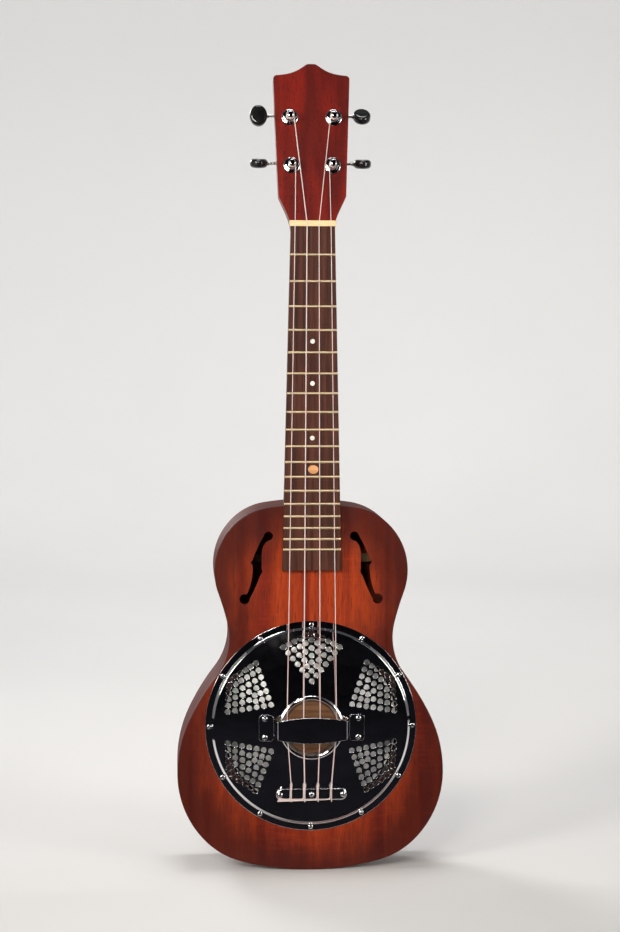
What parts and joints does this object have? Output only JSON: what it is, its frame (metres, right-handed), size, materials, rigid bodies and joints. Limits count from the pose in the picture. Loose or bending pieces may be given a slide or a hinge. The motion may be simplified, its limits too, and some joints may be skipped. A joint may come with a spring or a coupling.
{
  "type": "tenor resonator ukulele",
  "caption": "Tenor resonator ukulele: mahogany body with f-holes, spun cone under a domed chrome cover, fretted neck and geared tuners with oval buttons.",
  "frame": {"origin": "under the middle of the body at the tail, halfway between the hand rest and the back", "axes": "+Z along the strings to the headstock, +Y through the body to the back, +X to the viewer's right from the front"},
  "size_m": [0.2336, 0.089, 0.7049],
  "materials": {
    "top_wood": "satin gloss mahogany, shaded red at the edge",
    "side_wood": "satin gloss mahogany stained dark red",
    "neck_wood": "satin mahogany stained red brown",
    "head_wood": "satin gloss mahogany stained red brown",
    "inner_wood": "bare spruce and lime",
    "fingerboard_wood": "bare rosewood",
    "fret_metal": "polished nickel silver with a warm tone",
    "bone": "polished cream bone",
    "pearl": "polished pearl plastic",
    "inlay_wood": "light orange wood",
    "cone_metal": "spun aluminium",
    "maple": "bare maple",
    "chrome": "mirror chrome",
    "steel": "turned steel",
    "brass_gear": "machined brass",
    "string_nylon": "translucent fluorocarbon",
    "black_plastic": "polished black"
  },
  "bodies": {
    "body": {"top_plate": "top_wood", "back_plate": "side_wood", "rib_left": "side_wood", "rib_right": "side_wood", "neck": "neck_wood", "headplate": "head_wood", "neck_block": "inner_wood", "tail_block": "inner_wood", "top_lining": "inner_wood", "back_lining": "inner_wood", "braces": "inner_wood", "soundwell": "inner_wood", "neck_dowels": "inner_wood", "fretboard": "fingerboard_wood", "frets": "fret_metal", "nut": "bone", "saddle": "bone", "position_dots": "pearl", "octave_inlay": "inlay_wood", "cone": "cone_metal", "biscuit": "maple", "cover_plate": "chrome", "cover_screws": "chrome", "hand_rest": "chrome", "fitting_screws": "chrome", "tie_bar": "chrome", "tuner_bushings": "chrome", "tuner_washers": "chrome", "tuner_caps": "chrome", "fitting_nuts": "steel", "biscuit_screw": "steel", "tuner_screws": "steel", "tuner_housing_g": "chrome", "string_g": "string_nylon", "tuner_housing_c": "chrome", "string_c": "string_nylon", "tuner_housing_e": "chrome", "string_e": "string_nylon", "tuner_housing_a": "chrome", "string_a": "string_nylon"},
    "knob_g": {"worm_g": "steel", "button_g": "black_plastic", "button_screw_g": "steel"},
    "string_post_g": {"post_g": "chrome", "gear_g": "brass_gear"},
    "knob_c": {"worm_c": "steel", "button_c": "black_plastic", "button_screw_c": "steel"},
    "string_post_c": {"post_c": "chrome", "gear_c": "brass_gear"},
    "knob_e": {"worm_e": "steel", "button_e": "black_plastic", "button_screw_e": "steel"},
    "string_post_e": {"post_e": "chrome", "gear_e": "brass_gear"},
    "knob_a": {"worm_a": "steel", "button_a": "black_plastic", "button_screw_a": "steel"},
    "string_post_a": {"post_a": "chrome", "gear_a": "brass_gear"}
  },
  "joints": [
    {"name": "knob_g_turn", "type": "hinge", "parent": "body", "child": "knob_g", "pos_m": [-0.01765, 0.00835, 0.61928], "axis": [1, 0, 0], "continuous": true},
    {"name": "post_g_turn", "type": "hinge", "parent": "body", "child": "string_post_g", "pos_m": [-0.01765, -0.01256, 0.61586], "axis": [0, -0.9848, 0.1736], "continuous": true},
    {"name": "knob_c_turn", "type": "hinge", "parent": "body", "child": "knob_c", "pos_m": [-0.01905, 0.01573, 0.66114], "axis": [1, 0, 0], "continuous": true},
    {"name": "post_c_turn", "type": "hinge", "parent": "body", "child": "string_post_c", "pos_m": [-0.01905, -0.00518, 0.65772], "axis": [0, -0.9848, 0.1736], "continuous": true},
    {"name": "knob_e_turn", "type": "hinge", "parent": "body", "child": "knob_e", "pos_m": [0.01905, 0.01573, 0.66114], "axis": [1, 0, 0], "continuous": true},
    {"name": "post_e_turn", "type": "hinge", "parent": "body", "child": "string_post_e", "pos_m": [0.01905, -0.00518, 0.65772], "axis": [0, -0.9848, 0.1736], "continuous": true},
    {"name": "knob_a_turn", "type": "hinge", "parent": "body", "child": "knob_a", "pos_m": [0.01765, 0.00835, 0.61928], "axis": [1, 0, 0], "continuous": true},
    {"name": "post_a_turn", "type": "hinge", "parent": "body", "child": "string_post_a", "pos_m": [0.01765, -0.01256, 0.61586], "axis": [0, -0.9848, 0.1736], "continuous": true}
  ],
  "couplings": [
    {"joint": "post_g_turn", "follows": "knob_g_turn", "ratio": 0.071429},
    {"joint": "post_c_turn", "follows": "knob_c_turn", "ratio": 0.071429},
    {"joint": "post_e_turn", "follows": "knob_e_turn", "ratio": 0.071429},
    {"joint": "post_a_turn", "follows": "knob_a_turn", "ratio": 0.071429}
  ]
}
